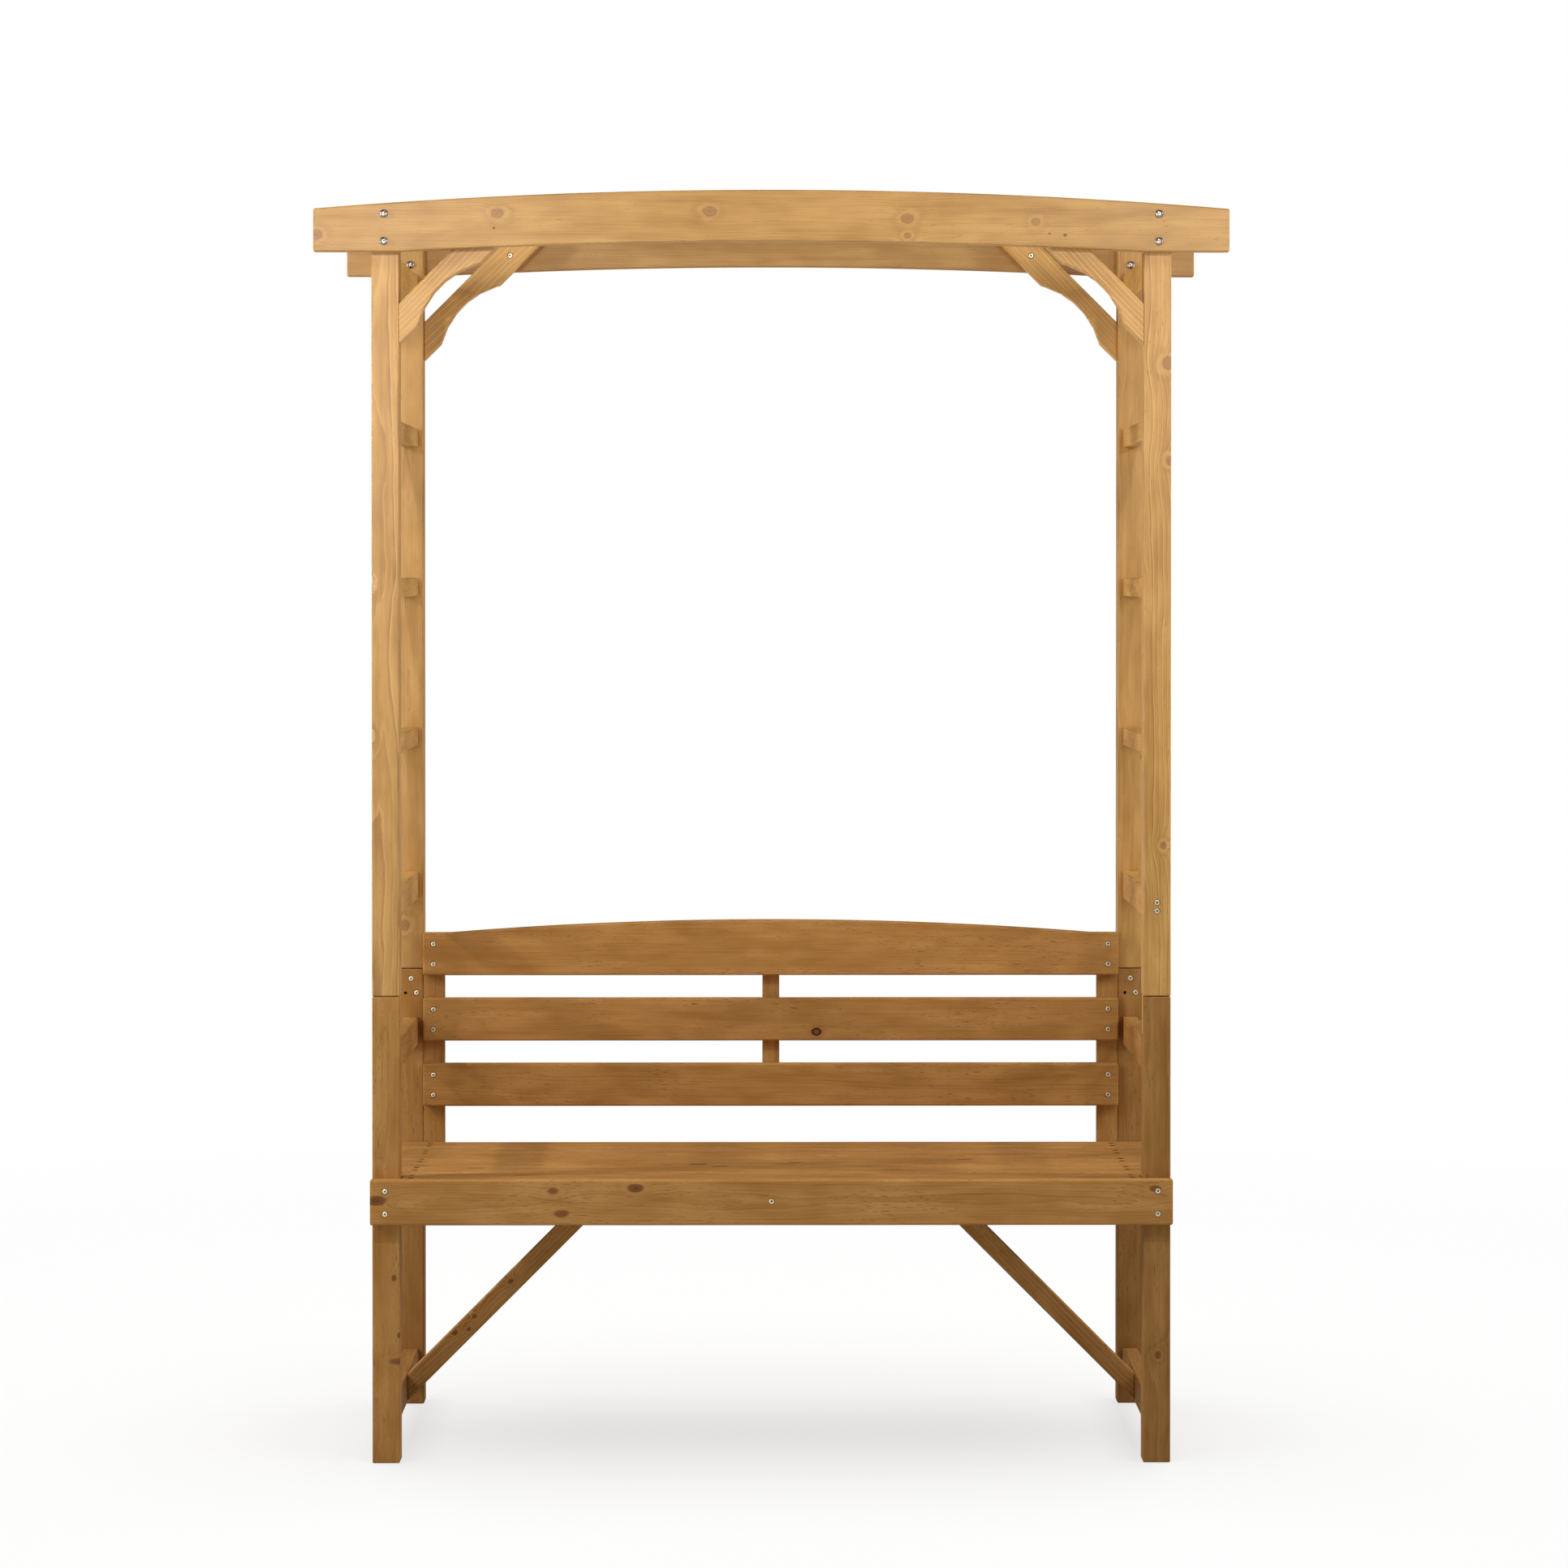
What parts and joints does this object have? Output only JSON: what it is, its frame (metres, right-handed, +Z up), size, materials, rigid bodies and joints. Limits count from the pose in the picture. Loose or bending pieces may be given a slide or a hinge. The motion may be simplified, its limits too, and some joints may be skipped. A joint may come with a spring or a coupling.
{
  "type": "arbour seat",
  "caption": "Wooden garden arbour seat: a slatted bench with an arched back between ladder sides that carry two arched cross beams on corner brackets.",
  "frame": {"origin": "on the ground under the middle of the frame, halfway between the front and rear posts", "axes": "+Z up, -Y towards the front where people sit down, +X to the right as seen from the front"},
  "size_m": [1.4, 0.566, 1.9529],
  "materials": {
    "frame_fir": "golden stained fir, satin, on posts, beams, brackets and rungs",
    "bench_fir": "brown stained fir, satin, on legs, seat, apron, back and braces",
    "screw_steel": "yellow passivated countersunk wood screws",
    "bolt_steel": "bright zinc plated domed sleeve bolts and cap nuts"
  },
  "bodies": {
    "root": {"back_slat_screws": "screw_steel", "beam_bolts": "bolt_steel", "beam_cap_nuts": "bolt_steel", "bearer_screws": "screw_steel", "brace_screws": "screw_steel", "bracket_screws": "screw_steel", "centre_back_batten": "bench_fir", "centre_seat_bearer": "bench_fir", "front_cross_beam": "frame_fir", "front_left_corner_bracket": "frame_fir", "front_left_lower_leg": "bench_fir", "front_left_upper_post": "frame_fir", "front_right_corner_bracket": "frame_fir", "front_right_lower_leg": "bench_fir", "front_right_upper_post": "frame_fir", "ladder_screws": "screw_steel", "left_arm_rail": "bench_fir", "left_back_batten": "bench_fir", "left_brace_bearer": "bench_fir", "left_ladder_foot_rail": "frame_fir", "left_ladder_rung_1": "frame_fir", "left_ladder_rung_2": "frame_fir", "left_ladder_rung_3": "frame_fir", "left_ladder_top_rail": "frame_fir", "left_lower_stretcher": "bench_fir", "left_seat_bearer": "bench_fir", "left_seat_brace": "bench_fir", "leg_screws": "screw_steel", "lower_back_slat": "bench_fir", "middle_back_slat": "bench_fir", "post_joint_screws": "screw_steel", "rear_cross_beam": "frame_fir", "rear_left_corner_bracket": "frame_fir", "rear_left_lower_leg": "bench_fir", "rear_left_upper_post": "frame_fir", "rear_right_corner_bracket": "frame_fir", "rear_right_lower_leg": "bench_fir", "rear_right_upper_post": "frame_fir", "rear_seat_rail": "bench_fir", "right_arm_rail": "bench_fir", "right_back_batten": "bench_fir", "right_brace_bearer": "bench_fir", "right_ladder_foot_rail": "frame_fir", "right_ladder_rung_1": "frame_fir", "right_ladder_rung_2": "frame_fir", "right_ladder_rung_3": "frame_fir", "right_ladder_top_rail": "frame_fir", "right_lower_stretcher": "bench_fir", "right_seat_bearer": "bench_fir", "right_seat_brace": "bench_fir", "seat_apron": "bench_fir", "seat_frame_screws": "screw_steel", "seat_screws": "screw_steel", "seat_slat_1": "bench_fir", "seat_slat_2": "bench_fir", "seat_slat_3": "bench_fir", "seat_slat_4": "bench_fir", "seat_slat_5": "bench_fir", "top_back_slat": "bench_fir"}
  },
  "joints": []
}
